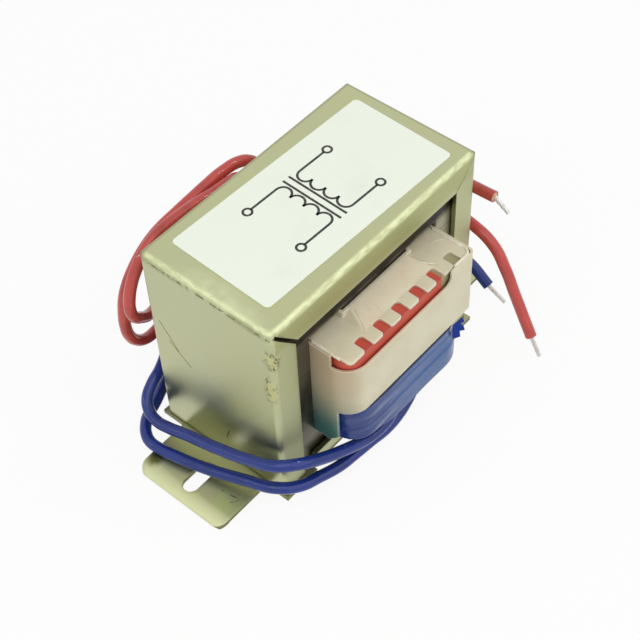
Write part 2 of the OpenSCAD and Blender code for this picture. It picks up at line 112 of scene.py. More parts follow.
# Beads and threads of dried glue on the bobbin in millimetres: name, half thickness and points
GLUE = (
    ("glue_bead_left", 0.33, [
        (-18.05, -14.9, 38.2), (-18.08, -17.5, 38.22), (-18.05, -20, 38.2), (-18.0, -21.6, 38.15)]),
    ("glue_bead_right", 0.33, [
        (18.05, -14.9, 38.2), (18.08, -18, 38.22), (18.05, -21, 38.2), (18, -23, 38.2), (17.4, -23.9, 38.2),
        (16, -24.15, 38.2), (14, -24.15, 38.2), (12.9, -24.15, 38.2)]),
    ("glue_thread_1", 0.11, [
        (8.08, -18.2, 39.04), (9.33, -18.9, 38.87), (10.29, -20.07, 38.57), (11.51, -21.27, 38.36)]),
    ("glue_thread_2", 0.11, [(-7.82, -16.8, 39.39), (-8.96, -19.15, 38.8), (-10.18, -21.56, 38.35)]),
    ("glue_thread_3", 0.09, [
        (15.1, -17, 38.34), (15.9, -17.3, 38.36), (16.7, -17.9, 38.36), (17.2, -18.5, 38.34)]),
    ("glue_thread_4", 0.08, [(-4.12, -17.93, 39.1), (-4.37, -19.43, 38.72), (-4.61, -20.92, 38.35)]),
    ("glue_thread_5", 0.09, [(-7.05, -17.94, 39.1), (-6.74, -18.51, 38.96), (-5.94, -18.69, 38.91)]),
    ("glue_thread_6", 0.08, [
        (4.9, -19.2, 38.75), (5.6, -20.1, 38.56), (6.4, -20.9, 38.36), (6.9, -21.5, 38.35)]),
)

# Fine dark lines on the plated sheet in millimetres, and the reach at which they fade out: painted shade in the
# right front mitre's gap, and scratches on the end wall and the left foot
SCRATCHES_AND_MITRE_SHADE = (
    ((23.8, -16.3, 45.4), (29.5, -16.3, 51.1)),
    ((-29.8, 11.5, 29), (-29.8, 6.5, 24.9)),
    ((-29.8, 13.6, 33.6), (-29.8, 9.4, 27.6)),
    ((-37, -5.8, 2), (-36.4, -10.1, 2)),
    ((-38.6, -8.7, 2), (-36.4, -10.1, 2)),
    ((-29.8, -1.2, 8.3), (-29.8, -2.1, 11.2)),
)
FINE_LINE_REACH = 0.22

# Lamps in metres: name, setting of the power, place, width and length, direction of the length. The bare tube
# and the small bare lamp give the leads and the rubbed bends their thin highlights.
UPWARDS = (0, 0, 1)
LAMPS = (
    ("Key lamp", "key_power", (0.1, -0.42, 0.44), (0.8, 0.8), UPWARDS),
    ("Fill lamp", "fill_power", (-0.3, -0.1, 0.55), (0.5, 0.5), UPWARDS),
    ("Tube lamp", "tube_power", (-0.43, 0.18, 0.38), (0.012, 0.75), (-0.1, -0.94, 0.34)),
    ("Glint lamp", "glint_power", (0.33, -0.19, 0.6), (0.05, 0.05), UPWARDS),
)

# Half width of the floor in metres, and how far its colour gives way to white where it is seen directly
FLOOR_REACH = 3
FLOOR_WHITENESS = 0.9

WHITE = (1.0, 1.0, 1.0, 1.0)
SMOOTH = {"interpolation_type": "SMOOTHSTEP"}


def linear(hex_code):
    """Turn an sRGB hex colour into linear RGBA."""
    channels = [int(hex_code[i:i + 2], 16) / 255 for i in (1, 3, 5)]
    return tuple(c / 12.92 if c <= 0.04045 else ((c + 0.055) / 1.055) ** 2.4 for c in channels) + (1.0,)


def colour(name, description, hex_code):
    """Declare a colour setting."""
    return FloatVectorProperty(
        name=name, description=description, subtype="COLOR", size=4, min=0, max=1, default=linear(hex_code))


def length(name, description, millimetres):
    """Declare a size setting."""
    return FloatProperty(name=name, description=description, subtype="DISTANCE", unit="LENGTH", min=0,
                         default=millimetres * MM)


def angle(name, description, degrees):
    """Declare an angle setting."""
    return FloatProperty(name=name, description=description, subtype="ANGLE", default=math.radians(degrees))


def power(name, description, watts):
    return FloatProperty(name=name, description=description, unit="POWER", default=watts)


def spot(name, description, metres):
    return FloatVectorProperty(
        name=name, description=description, subtype="TRANSLATION", unit="LENGTH", default=metres)


class StageSettings(PropertyGroup):
    """Camera, lamps and floor."""

    azimuth: angle("Azimuth", "Turn of the camera about the part", -47.27)
    elevation: angle("Elevation", "Height of the camera's view", 50.33)
    roll: angle("Roll", "Turn of the camera about its own axis", 2.94)
    place: spot("Camera place", "Where the camera stands", (-138.6 * MM, -128.56 * MM, 243.98 * MM))
    lens: FloatProperty(name="Lens", description="Focal length", unit="CAMERA", default=81.0)
    key_power: power("Key lamp", "Power of the main lamp", 1.25)
    fill_power: power("Fill lamp", "Power of the second lamp", 0.68)
    tube_power: power("Tube lamp", "Power of the bare tube", 0.34)
    glint_power: power("Glint lamp", "Power of the small bare lamp", 0.15)
    ambient: FloatProperty(name="Ambient", description="Strength of the light from all round", default=0.6)
    floor: colour("Floor", "Colour of the floor", "#F3F3F1")


class LeadSettings(PropertyGroup):
    """Insulated leads and their bare tips."""

    diameter: length("Diameter", "Thickness of a lead over its insulation", 2.5)
    strand: length("Strand", "Thickness of one strand of the conductor", 0.36)
    lay: length("Lay", "Length of one turn of the twisted strands", 9)
    red: colour("Red", "Red insulation", "#C44C45")
    blue: colour("Blue", "Blue insulation", "#183183")
    tin: colour("Tin", "Tinned conductor", "#CBC9C4")


class SheetSettings(PropertyGroup):
    """Plated sheet of the cover and the base plate."""

    green: colour("Green", "Greener clouds of the chromate film", "#B8BC94")
    yellow: colour("Yellow", "Yellower clouds of the chromate film", "#BABC92")
    # This colour paints shade on the upper part of the long rims
    rim_shade: colour("Deep", "Thicker film on the long upper rims", "#B0B381")
    # This colour is both rubbed film and a painted highlight on the front and left bends
    worn: colour("Worn", "Bends where the film is rubbed thin", "#D0D6AC")
    scuff: colour("Scuff", "Scuffs on the front left bend", "#C8C795")
    # This colour also paints shade on the far bends, below the end walls' upper bends, on the feet's cut edges
    # and in the right front mitre, and a lead's shadow on the left foot
    edge: colour("Edge", "Dark lines, tarnish and smudges", "#6B6A40")
    stain: colour("Stain", "Green stain on a foot", "#BCC787")
    cloud: length("Cloud", "Width of the clouds in the chromate film", 14)
    wave: length("Wave", "Width of the gentle waves in the sheet", 22)
    bend: length("Bend", "Radius that the upper bends are eased to", 1.6)
    streak: length("Streak", "Width of the rubbed streaks along a bend", 0.5)


class CoilSettings(PropertyGroup):
    """Core, bobbin, shroud, windings and tapes."""

    nylon: colour("Nylon", "Bobbin", "#DDD4BA")
    shroud: colour("Shroud", "Shroud over the upper winding", "#DAD3B7")
    peach: colour("Peach", "Warm tint where the red tape shows through", "#DDB694")
    teal: colour("Teal", "Cold tint where the blue tape shows through", "#3F726F")
    red_tape: colour("Red tape", "Tape round the upper winding", "#BE4A3A")
    # This colour paints shade on the red tape's right end, where the slit ends
    slit_end_shade: colour("Lap", "Bare lapped end of the upper winding's tape", "#A39C78")
    blue_tape: colour("Blue tape", "Tape round the lower winding", "#335892")
    navy: colour("Navy", "Doubled and creased blue tape", "#17296F")
    torn: colour("Torn", "Torn end of the blue tape", "#143898")
    copper: colour("Copper", "Enamelled wire", "#9A5530")
    steel: colour("Steel", "Laminations where the varnish is thin", "#B4B198")
    # This colour also paints shade on the yoke and towards the left
    varnish: colour("Varnish", "Laminations where the varnish is thick", "#231B15")
    wound: length("Wound", "Thickness of the turns of blue tape", 0.2)
    single: length("Single", "Thickness of the torn end's single layer", 0.06)


class LabelSettings(PropertyGroup):
    """Label on the cover."""

    film: colour("Film", "Label film", "#EFF6E7")
    ink: colour("Ink", "Printed symbol", "#23231F")
    stroke: length("Stroke", "Width of the printed lines", 0.5)
    print_depth: length("Print depth", "Thickness of the printed ink", 0.02)
    middle: spot("Middle", "Middle of the label's upper face", (0.7 * MM, -0.1 * MM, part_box("label")[1][2]))
    turn: angle("Turn", "Turn of the label on the cover", -2)


def add_node(tree, kind, inputs=None, output=0, **settings):
    """Add a shader node with its settings, each input a value or a socket to link from; return one output."""
    node = tree.nodes.new("ShaderNode" + kind)
    for name, value in settings.items():
        setattr(node, name, value)
    for name, value in (inputs or {}).items():
        if isinstance(value, NodeSocket):
            tree.links.new(value, node.inputs[name])
        else:
            node.inputs[name].default_value = value
    return node.outputs[output]


def wire(node, **sockets):
    """Link sockets to a node's inputs, which are named with _ for a space."""
    for name, socket in sockets.items():
        node.id_data.links.new(socket, node.inputs[name.replace("_", " ")])


def start_material(name, **sockets):
    """Make a material; return it, what adds its nodes, its shader and the place on the part in metres."""
    material = bpy.data.materials.new(name)
    material.use_nodes = True
    shader = material.node_tree.nodes["Principled BSDF"]
    for socket, value in sockets.items():
        shader.inputs[socket.replace("_", " ")].default_value = value
    add = partial(add_node, material.node_tree)
    return material, add, shader, add("TexCoord", output="Object")


def paint(add, shader, base, *layers):
    """Colour a shader with a base tint and with layers over it, each a share and the tint that it shows."""
    for share, tint in layers:
        base = add("Mix", {0: share, 6: base, 7: tint}, 2, data_type="RGBA")
    wire(shader, Base_Color=base)


def lumpy_skin(add, shader, place, size, depth, detail=2.0, edge=0.0):
    """Give a shader soft lumps of a size and depth in metres, and edges that look eased to a radius."""
    lumps = add("TexNoise", {"Vector": place, "Scale": 1 / size, "Detail": detail})
    relief = {"Distance": depth, "Height": lumps}
    if edge:
        relief["Normal"] = add("Bevel", {"Radius": edge}, samples=4)
    wire(shader, Normal=add("Bump", relief))


def mottle(add, place, size, low, high, detail=3.0, stretch=(1, 1, 1)):
    """Share from 0 to 1 of soft blotches of about that size, drawn out along the axes that are stretched."""
    spread = add("Mapping", {"Vector": place, "Scale": tuple(1 / s for s in stretch)})
    blotches = add("TexNoise", {"Vector": spread, "Scale": 1 / size, "Detail": detail})
    return add("MapRange", {"Value": blotches, "From Min": low, "From Max": high}, **SMOOTH)


def patch(add, place, centre, size, core=0.4):
    """Share that is 1 round a centre in millimetres and fades out at the given half sizes."""
    shift = tuple(-c / s for c, s in zip(centre, size))
    scale = tuple(1 / (s * MM) for s in size)
    local = add("Mapping", {"Vector": place, "Scale": scale, "Location": shift})
    far = add("VectorMath", {0: local}, "Value", operation="LENGTH")
    return add("MapRange", {"Value": far, "From Min": 1.0, "From Max": core}, **SMOOTH)


def blotch(add, place, centre, size, core, grain, low, high):
    """Patch that is broken up by soft blotches of about the grain's size."""
    whole = patch(add, place, centre, size, core)
    return add("Math", {0: whole, 1: mottle(add, place, grain, low, high)}, operation="MULTIPLY")


def fine_line(add, place, start, end):
    """Share that is 1 on a fine line between two points in millimetres."""
    first, along = Vector(start) * MM, (Vector(end) - Vector(start)) * MM
    local = add("VectorMath", {0: place, 1: first}, operation="SUBTRACT")
    run = add("VectorMath", {0: local, 1: along / along.length_squared}, "Value", operation="DOT_PRODUCT")
    held = add("Clamp", {"Value": run})
    nearest = add("VectorMath", {0: along, "Scale": held}, operation="SCALE")
    far = add("VectorMath", {0: local, 1: nearest}, "Value", operation="DISTANCE")
    reach = FINE_LINE_REACH * MM
    return add("MapRange", {"Value": far, "From Min": reach, "From Max": reach / 3}, **SMOOTH)


def sharp_edges(add, reach):
    """Share that rises to 1 where the surface turns within a short reach in metres."""
    straight = add("NewGeometry", output="Normal")
    turned = add("Bevel", {"Radius": reach}, samples=8)
    same = add("VectorMath", {0: straight, 1: turned}, "Value", operation="DOT_PRODUCT")
    return add("MapRange", {"Value": same, "From Min": 0.99, "From Max": 0.8}, **SMOOTH)


def dress(material, *nodes):
    """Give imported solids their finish."""
    for node in nodes:
        slots = NODES[node].data.materials
        slots.clear()
        slots.append(material)


def new_piece(name, data, material):
    """Add a piece that rides on the part."""
    piece = bpy.data.objects.new(name, data)
    bpy.context.scene.collection.objects.link(piece)
    data.materials.append(material)
    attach(piece, BODY)
    return piece


def round_corners(node, radius, top):
    """Stand in for a dressed solid a copy whose upright corners, up to a height, are rounder."""
    mesh = NODES[node].data.copy()
    material = mesh.materials[0]
    mesh.materials.clear()
    limit_x, limit_y = (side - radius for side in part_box(node)[1][:2])
    for corner in mesh.vertices:
        x, y, z = corner.co
        past = Vector((abs(x) - limit_x, abs(y) - limit_y))
        if z <= top and min(past) > 0 and past.length > radius:
            past *= radius / past.length
            corner.co = (math.copysign(limit_x + past.x, x), math.copysign(limit_y + past.y, y), z)
    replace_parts(new_piece(node + "_rounded", mesh, material), node)


def chromated_zinc(settings):
    """Zinc plate with a yellow-green chromate film on rolled steel."""
    # A soft mirror with faint green and yellow clouds, scuffed and scratched, pale along its front and left
    # bends with rubbed film and a painted highlight, and darkened in places by painted shade
    material, add, shader, place = start_material("Chromated zinc plate on rolled steel", Metallic=1.0)
    clouds = mottle(add, place, settings.cloud, 0.35, 0.65)
    height = add("SeparateXYZ", {0: place}, "Z")
    facing = add("VectorMath", {0: add("TexCoord", output="Normal")}, operation="ABSOLUTE")
    facing_x, facing_y, facing_z = add("SeparateXYZ", {0: facing}).node.outputs

    # Close to a bend no part of the eased normal is near 1; at the right and rear bends it points away
    eased = add("Bevel", {"Radius": settings.bend}, samples=8)
    towards_x, towards_y = (add("SeparateXYZ", {0: eased}, axis) for axis in "XY")
    turned_away = add("Math", {0: towards_x, 1: towards_y}, operation="MAXIMUM")
    away = add("MapRange", {"Value": turned_away, "From Min": 0.05, "From Max": 0.2})
    parts = add("VectorMath", {0: eased}, operation="ABSOLUTE")
    eased_x, eased_y, eased_z = add("SeparateXYZ", {0: parts}).node.outputs
    wide = add("Math", {0: eased_x, 1: eased_y}, operation="MAXIMUM")
    most = add("Math", {0: wide, 1: eased_z}, operation="MAXIMUM")
    bend = add("MapRange", {"Value": most, "From Min": 0.998, "From Max": 0.93}, **SMOOTH)

    # The cover's front and left bends are pale in streaks, the upper ones most, and so is the top's left edge:
    # rubbed film with a painted highlight
    upper = add("MapRange", {"Value": height, "From Min": 49 * MM, "From Max": 50 * MM, "To Min": 0.3})
    on_cover = add("MapRange", {"Value": height, "From Min": 4 * MM, "From Max": 8 * MM, "To Min": 0.08,
                                "To Max": upper})
    near_bend_wear_and_highlight = add("MapRange", {"Value": away, "To Min": on_cover, "To Max": 0.0})
    worn = add("Math", {0: bend, 1: near_bend_wear_and_highlight}, operation="MULTIPLY")
    level, upright = (
        mottle(add, place, settings.streak, 0.3, 0.65, 4.0, run) for run in ((4, 4, 1), (1, 1, 6)))
    streaks = add("Mix", {0: upper, 2: upright, 3: level})
    rubbed = add("Math", {0: worn, 1: streaks}, operation="MULTIPLY")
    handled = blotch(add, place, (-29.4, -3, 51.4), (5.5, 15, 3), 0.2, 3 * MM, 0.1, 0.8)
    pale = add("Math", {0: rubbed, 1: handled}, operation="MAXIMUM")

    # The right and rear bends aren't rubbed: painted shade darkens them, at most half strength on the upper
    # ones
    far_bend_shade, half = bend, 0.5
    for share in (away, upper, half):
        far_bend_shade = add("Math", {0: far_bend_shade, 1: share}, operation="MULTIPLY")

    # Painted shade along the foot of the end walls' upper bends: a broken dark line, with a softer band beside
    # it
    bend_foot, sideways = 49.95 * MM, 0.8
    off_line = add("Math", {0: height, 1: bend_foot}, operation="SUBTRACT")
    near_line = add("Math", {0: off_line}, operation="ABSOLUTE")
    line = add("MapRange", {"Value": near_line, "From Min": 0.6 * MM, "From Max": 0.1 * MM})
    gaps = mottle(add, place, 0.9 * MM, 0.42, 0.6, 4.0)
    specks = add("Math", {0: line, 1: gaps}, operation="MULTIPLY")
    band = add("MapRange", {"Value": near_line, "From Min": 1.2 * MM, "From Max": 0.2 * MM, "To Max": 0.5},
               **SMOOTH)
    shade_breakup = mottle(add, place, 2.2 * MM, 0.3, 0.7, 4.0)
    bend_foot_shade_band = add("Math", {0: band, 1: shade_breakup}, operation="MULTIPLY")
    bend_foot_shade = add("Math", {0: specks, 1: bend_foot_shade_band}, operation="MAXIMUM")
    on_end = add("Math", {0: facing_x, 1: sideways}, operation="GREATER_THAN")
    marks = add("Math", {0: bend_foot_shade, 1: on_end}, operation="MULTIPLY")

    # Scuffs on the front left bend, yellow inside with a dark crumbled outline; scratches; painted shade in a
    # mitre
    scuff_high = patch(add, place, (-29.3, -15.5, 43.8), (2.2, 2.2, 4.2))
    scuff_low = patch(add, place, (-29.4, -14.8, 35.2), (2.0, 2.0, 5.4))
    scuffs = add("Math", {0: scuff_high, 1: scuff_low}, operation="MAXIMUM")
    flake_end, outline_width = 0.5, 0.016
    flakes = add("TexNoise", {"Vector": place, "Scale": 1 / (1.9 * MM), "Detail": 3.0})
    flaked = add("MapRange", {"Value": flakes, "From Min": flake_end, "From Max": 0.53})
    outline = add("Math", {0: flakes, 1: flake_end, 2: outline_width}, operation="COMPARE")
    bright = add("Math", {0: scuffs, 1: flaked}, operation="MULTIPLY")
    rim = add("Math", {0: scuffs, 1: outline}, operation="MULTIPLY")
    for mark in (rim, *(fine_line(add, place, *ends) for ends in SCRATCHES_AND_MITRE_SHADE)):
        marks = add("Math", {0: marks, 1: mark}, operation="MAXIMUM")

    # Stains on the left foot, a painted lead shadow on its rear corner, and painted shade on both feet's cut
    # edges and on the long upper rims
    stain = blotch(add, place, (-38.2, -8.6, 1.5), (4.2, 4.4, 3), 0.4, 2.4 * MM, 0.35, 0.6)
    lead_shadow = blotch(add, place, (-39.9, 10, 1.5), (2.8, 2.4, 3), 0.3, 1.6 * MM, 0.1, 0.45)
    cut = add("MapRange", {"Value": facing_z, "From Min": 0.5, "From Max": 0.2, "To Max": 0.8})
    cut_edge_shade = add("MapRange", {"Value": height, "From Min": 3.2 * MM, "From Max": 2.8 * MM, "To Max": cut})
    on_rim = add("MapRange", {"Value": facing_y, "From Min": 0.9, "From Max": 1.0})
    rim_shade = add("MapRange", {"Value": height, "From Min": 45 * MM, "From Max": 46.5 * MM, "To Max": on_rim})
    paint(add, shader, settings.green, (clouds, settings.yellow), (pale, settings.worn),
          (far_bend_shade, settings.edge), (bright, settings.scuff), (marks, settings.edge), (stain, settings.stain),
          (lead_shadow, settings.edge), (cut_edge_shade, settings.edge), (rim_shade, settings.rim_shade))

    # Roughness of the clean film and what comes on top: the rims were rubbed when they were folded in and the
    # feet are handled, so they mirror less than the rest
    on_foot = add("MapRange", {"Value": height, "From Min": 4 * MM, "From Max": 2.5 * MM})
    rough = 0.285
    for share, more in ((clouds, 0.03), (on_rim, 0.16), (on_foot, 0.14), (worn, 0.22), (scuffs, 0.2)):
        rough = add("Math", {0: share, 1: more, 2: rough}, operation="MULTIPLY_ADD")

    # Relief: eased bends, gentle waves in the sheet, and shallow pits where it is scuffed or rubbed
    ease = add("MapRange", {"Value": height, "From Min": 48.3 * MM, "From Max": 49.3 * MM,
                            "To Min": 0.15 * MM, "To Max": settings.bend})
    relief = add("Bevel", {"Radius": ease}, samples=8)
    waves = add("TexNoise", {"Vector": place, "Scale": 1 / settings.wave, "Detail": 1.0})
    for lumps, strength in ((waves, 1.0), (bright, 1.0), (rubbed, 0.5)):
        relief = add("Bump", {"Distance": 0.05 * MM, "Height": lumps, "Normal": relief, "Strength": strength})
    wire(shader, Roughness=rough, Normal=relief)
    return material


def label_film(settings):
    """Coated label film."""
    # Smooth and pale, faintly greyed by handling
    material, add, shader, place = start_material("Coated label film", Roughness=0.4)
    handled = mottle(add, place, 9 * MM, 0.5, 1.3, 4.0)
    paint(add, shader, settings.film, (handled, linear("#D9DFD3")))
    lumpy_skin(add, shader, place, 4 * MM, 0.01 * MM)
    return material


def printing_ink(settings):
    """Screen-printed ink."""
    # Thin and dark, slightly uneven in density
    material, add, shader, place = start_material("Screen-printed ink", Roughness=0.45)
    thin = mottle(add, place, 0.6 * MM, 0.4, 1.0)
    paint(add, shader, settings.ink, (thin, linear("#6A6A64")))
    return material


def varnished_steel(settings):
    """Silicon steel laminations dipped in varnish."""
    # Grey steel with fine rolling lines on the right leg; dark brown painted shade on the yoke and at the left,
    # over varnish that runs thicker in places
    material, add, shader, place = start_material("Varnished silicon steel laminations", Metallic=0.85)
    side, height = (add("SeparateXYZ", {0: place}, axis) for axis in "XZ")
    yoke_shade = add("MapRange", {"Value": height, "From Min": 39 * MM, "From Max": 41 * MM})
    left = add("MapRange", {"Value": side, "From Min": 18 * MM, "From Max": 10 * MM, "To Max": 0.7})
    yoke_and_left_shade = add("Math", {0: yoke_shade, 1: left}, operation="MAXIMUM")
    runs = mottle(add, place, 5 * MM, 0.35, 0.75, 3.0, (1, 1, 3))
    extra = 0.25
    thick = add("Math", {0: runs, 1: extra, 2: yoke_and_left_shade}, operation="MULTIPLY_ADD", use_clamp=True)
    lines = mottle(add, place, 0.5 * MM, 0.5, 0.8, 2.0, (50, 1, 1))
    paint(add, shader, settings.steel, (thick, settings.varnish), (lines, settings.varnish))
    wire(shader, Roughness=add("MapRange", {"Value": runs, "To Min": 0.3, "To Max": 0.45}),
         Normal=add("Bump", {"Distance": 0.01 * MM, "Height": lines}))
    return material


def moulded_nylon(settings):
    """Natural nylon, injection moulded."""
    # Milky and faintly cloudy, warm where the red tape lies behind it, with light in its thin edges
    material, add, shader, place = start_material(
        "Natural nylon, moulded", Roughness=0.34, IOR=1.53, Subsurface_Weight=0.5, Subsurface_Scale=1.2 * MM,
        Subsurface_Radius=(1.0, 0.75, 0.55))
    cloud = mottle(add, place, 5 * MM, 0.35, 0.75)
    comb = patch(add, place, (-9, -20.5, 38.5), (8, 4, 3), 0.1)
    ramp = patch(add, place, (2, -18.5, 39), (11, 3, 3), 0.2)
    warm = add("Math", {0: comb, 1: ramp}, operation="MAXIMUM")
    warm = add("Math", {0: warm, 1: mottle(add, place, 6 * MM, 0.3, 1.1)}, operation="MULTIPLY")
    paint(add, shader, settings.nylon, (cloud, linear("#D6CCB0")), (warm, settings.peach),
          (sharp_edges(add, 0.4 * MM), linear("#FFF0DE")))
    lumpy_skin(add, shader, place, 2.5 * MM, 0.04 * MM, 3.0, 0.25 * MM)
    return material


def shroud_plastic(settings):
    """Thin polypropylene shroud, moulded."""
    # Creamy and see-through enough to take, on its left cheek, a warm tint above and a cold one below; painted
    # shade dims the cheek and painted highlights brighten its thin edges
    material, add, shader, place = start_material(
        "Translucent polypropylene, moulded", Roughness=0.36, IOR=1.5, Subsurface_Weight=0.5,
        Subsurface_Scale=1.0 * MM, Subsurface_Radius=(1.0, 0.8, 0.6))
    cloud = mottle(add, place, 7 * MM, 0.35, 0.8)
    side, height = (add("SeparateXYZ", {0: place}, axis) for axis in "XZ")
    cheek = add("MapRange", {"Value": side, "From Min": -14.5 * MM, "From Max": -18.4 * MM}, **SMOOTH)
    high = add("MapRange", {"Value": height, "From Min": 25 * MM, "From Max": 33 * MM, "To Max": 0.3},
               **SMOOTH)
    low = add("MapRange", {"Value": height, "From Min": 27 * MM, "From Max": 14 * MM}, **SMOOTH)
    shaded = 0.55
    cheek_shade, warm, cold = (
        add("Math", {0: cheek, 1: share}, operation="MULTIPLY") for share in (shaded, high, low))
    paint(add, shader, settings.shroud, (cloud, linear("#CFC7A8")), (cheek_shade, linear("#9A9072")),
          (warm, settings.peach), (cold, settings.teal), (sharp_edges(add, 0.2 * MM), linear("#FFF3E4")))
    lumpy_skin(add, shader, place, 4 * MM, 0.04 * MM, 3.0, 0.2 * MM)
    return material


def dried_glue(settings):
    """Dried glue, run into the joints and drawn out in threads."""
    # Clear and glossy over the nylon, so it takes the nylon's colour and catches the light
    material, add, shader, place = start_material("Dried clear glue", Roughness=0.14, IOR=1.5)
    cloud = mottle(add, place, 2 * MM, 0.3, 0.8)
    paint(add, shader, settings.nylon, (cloud, linear("#FBF4E4")))
    lumpy_skin(add, shader, place, 0.8 * MM, 0.1 * MM)
    return material


def red_tape(settings):
    """Red polyester film tape, wound by hand."""
    # Red and softly glossy, with painted light below its upper edge where the shroud shades it; at the right
    # end, painted shade turns it greyish
    material, add, shader, place = start_material("Red polyester tape, wound", Roughness=0.4, IOR=1.45)
    worn = mottle(add, place, 3 * MM, 0.45, 0.85, 3.0, (3, 3, 1))
    side, height = (add("SeparateXYZ", {0: place}, axis) for axis in "XZ")
    lower = add("MapRange", {"Value": height, "From Min": 37.4 * MM, "From Max": 35.2 * MM})
    lapped = add("MapRange", {"Value": side, "From Min": 9.3 * MM, "From Max": 9.9 * MM})
    paint(add, shader, settings.red_tape, (worn, linear("#B23F33")), (lower, linear("#DA604F")),
          (lapped, settings.slit_end_shade))
    lumpy_skin(add, shader, place, 3 * MM, 0.06 * MM, 3.0)
    return material


def blue_tape(settings):
    """Blue polyester film tape, wound by hand."""
    # Glossy grey-blue, navy towards the left and most where it is doubled and creased, greyish at the right
    # corner, and painted shade where it goes under the shroud
    material, add, shader, place = start_material("Blue polyester tape, wound", IOR=1.45)
    side, height = (add("SeparateXYZ", {0: place}, axis) for axis in "XZ")
    left = add("MapRange", {"Value": side, "From Min": 2 * MM, "From Max": -15 * MM}, **SMOOTH)
    creased = mottle(add, place, 3 * MM, 0.35, 0.65, 2.0, (2, 2, 1))
    doubled = add("Math", {0: creased, 1: left}, operation="MULTIPLY")
    half = 0.5
    navy = add("Mix", {0: half, 2: left, 3: doubled})
    under_shroud_shade = add("MapRange", {"Value": height, "From Min": 20.3 * MM, "From Max": 20.8 * MM})
    corner = patch(add, place, (15.6, -22.8, 11), (2.4, 3.4, 4.5), 0.6)
    paint(add, shader, settings.blue_tape, (navy, settings.navy), (under_shroud_shade, linear("#0B143E")),
          (corner, linear("#AEB6B8")))
    wire(shader, Roughness=add("MapRange", {"Value": creased, "To Min": 0.2, "To Max": 0.32}),
         Normal=add("Bump", {"Distance": 0.06 * MM, "Height": doubled}))
    return material


def torn_tape(settings):
    """Torn end of the blue tape."""
    # Crumpled and matt, a stronger blue than the tight turns
    material, add, shader, place = start_material("Blue polyester tape, torn", Roughness=0.6, IOR=1.12)
    streaks = mottle(add, place, 1 * MM, 0.35, 0.75)
    paint(add, shader, settings.torn, (streaks, settings.navy))
    return material


def enamelled_copper(settings):
    """Enamelled copper wire, wound in layers."""
    # Rows of round glossy turns with brown painted shade in the grooves between them, drawn far coarser than
    # the wire to show
    material, add, shader, place = start_material(
        "Enamelled copper wire, wound", Metallic=0.8, Roughness=0.25)
    row = 2.2 * MM
    waves_per_unit = 20 / math.tau
    rows = add("TexWave", {"Vector": place, "Scale": 1 / (waves_per_unit * row), "Distortion": 0.6}, "Fac",
               bands_direction="Z")
    paint(add, shader, linear("#5E2E16"), (rows, settings.copper))
    wire(shader, Normal=add("Bump", {"Distance": 0.15 * MM, "Height": rows}))
    return material


def extruded_pvc(name, tint, pale_ends):
    """PVC insulation, extruded, with a pale inside where its listed ends are cut."""
    # Evenly coloured and glossy, with duller, darker handling marks and a slightly uneven skin
    material, add, shader, place = start_material(name, IOR=1.46)
    marks = mottle(add, place, 5 * MM, 0.4, 0.75, 4.0)
    shade = 0.75
    darker = tuple(c * shade for c in tint[:3]) + (1.0,)
    insides = [(patch(add, place, end, (1.1, 1.1, 1.1), 0.5), linear("#E6BE92")) for end in pale_ends]
    paint(add, shader, tint, (marks, darker), *insides)
    wire(shader, Roughness=add("MapRange", {"Value": marks, "To Min": 0.08, "To Max": 0.2}))
    lumpy_skin(add, shader, place, 1.4 * MM, 0.025 * MM, 3.0)
    return material


def tinned_copper(settings):
    """Stranded copper dipped in solder."""
    # Bright and slightly lumpy, with copper showing faintly
    material, add, shader, place = start_material("Tinned stranded copper", Metallic=1.0, Roughness=0.28)
    bare = mottle(add, place, 0.8 * MM, 0.55, 0.75)
    paint(add, shader, settings.tin, (bare, linear("#B9A592")))
    lumpy_skin(add, shader, place, 0.4 * MM, 0.03 * MM)
    return material


def round_curve(name, radius, resolution):
    """Empty curve for closed round strands."""
    curve = bpy.data.curves.new(name, "CURVE")
    curve.dimensions = "3D"
    curve.bevel_depth = radius
    curve.bevel_resolution = resolution
    curve.use_fill_caps = True
    return curve


def smooth_tube(name, points, radius):
    """Curve of one open spline through points in metres."""
    curve = round_curve(name, radius, resolution=5)
    curve.resolution_u = 8
    spline = curve.splines.new("BEZIER")
    spline.bezier_points.add(len(points) - 1)
    for knot, point in zip(spline.bezier_points, points):
        knot.co = point
        knot.handle_left_type = "AUTO"
        knot.handle_right_type = "AUTO"
    return curve


def twisted_strands(name, start, end, strand, lay):
    """Curve of seven strands, six twisted round one in the middle and pressed together towards the end."""
    curve = round_curve(name, strand / 2, resolution=2)
    along = end - start
    side = along.orthogonal().normalized()
    other = along.normalized().cross(side)
    outer, steps = 6, 12
    apart, pressed = 0.9 * strand, 0.25
    for index in range(outer + 1):
        radius = apart if index < outer else 0
        spline = curve.splines.new("POLY")
        spline.points.add(steps)
        for step, knot in enumerate(spline.points):
            share = step / steps
            swing = math.tau * (index / outer + share * along.length / lay)
            reach = radius * (1 - pressed * share)
            point = start + along * share + (side * math.cos(swing) + other * math.sin(swing)) * reach
            knot.co = (*point, 1)
    return curve


def rise(value, low, high):
    """Smooth step of a value from 0 at low to 1 at high."""
    share = min(max((value - low) / (high - low), 0), 1)
    return share * share * (3 - 2 * share)


def add_stroke(mesh, points, width):
    """Add a flat printed line through points of the label's plane."""
    sides = []
    for index, point in enumerate(points):
        before = points[max(index - 1, 0)]
        after = points[min(index + 1, len(points) - 1)]
        across = (after - before).orthogonal().normalized() * width / 2
        sides.append([mesh.verts.new((*(point + step), 0)) for step in (across, -across)])
    for first, second in zip(sides, sides[1:]):
        mesh.faces.new((first[0], first[1], second[1], second[0]))


def thicken(piece, thickness):
    """Give a film its thickness, inwards."""
    solidify = piece.modifiers.new("Thickness", "SOLIDIFY")
    solidify.thickness = thickness
    solidify.offset = -1


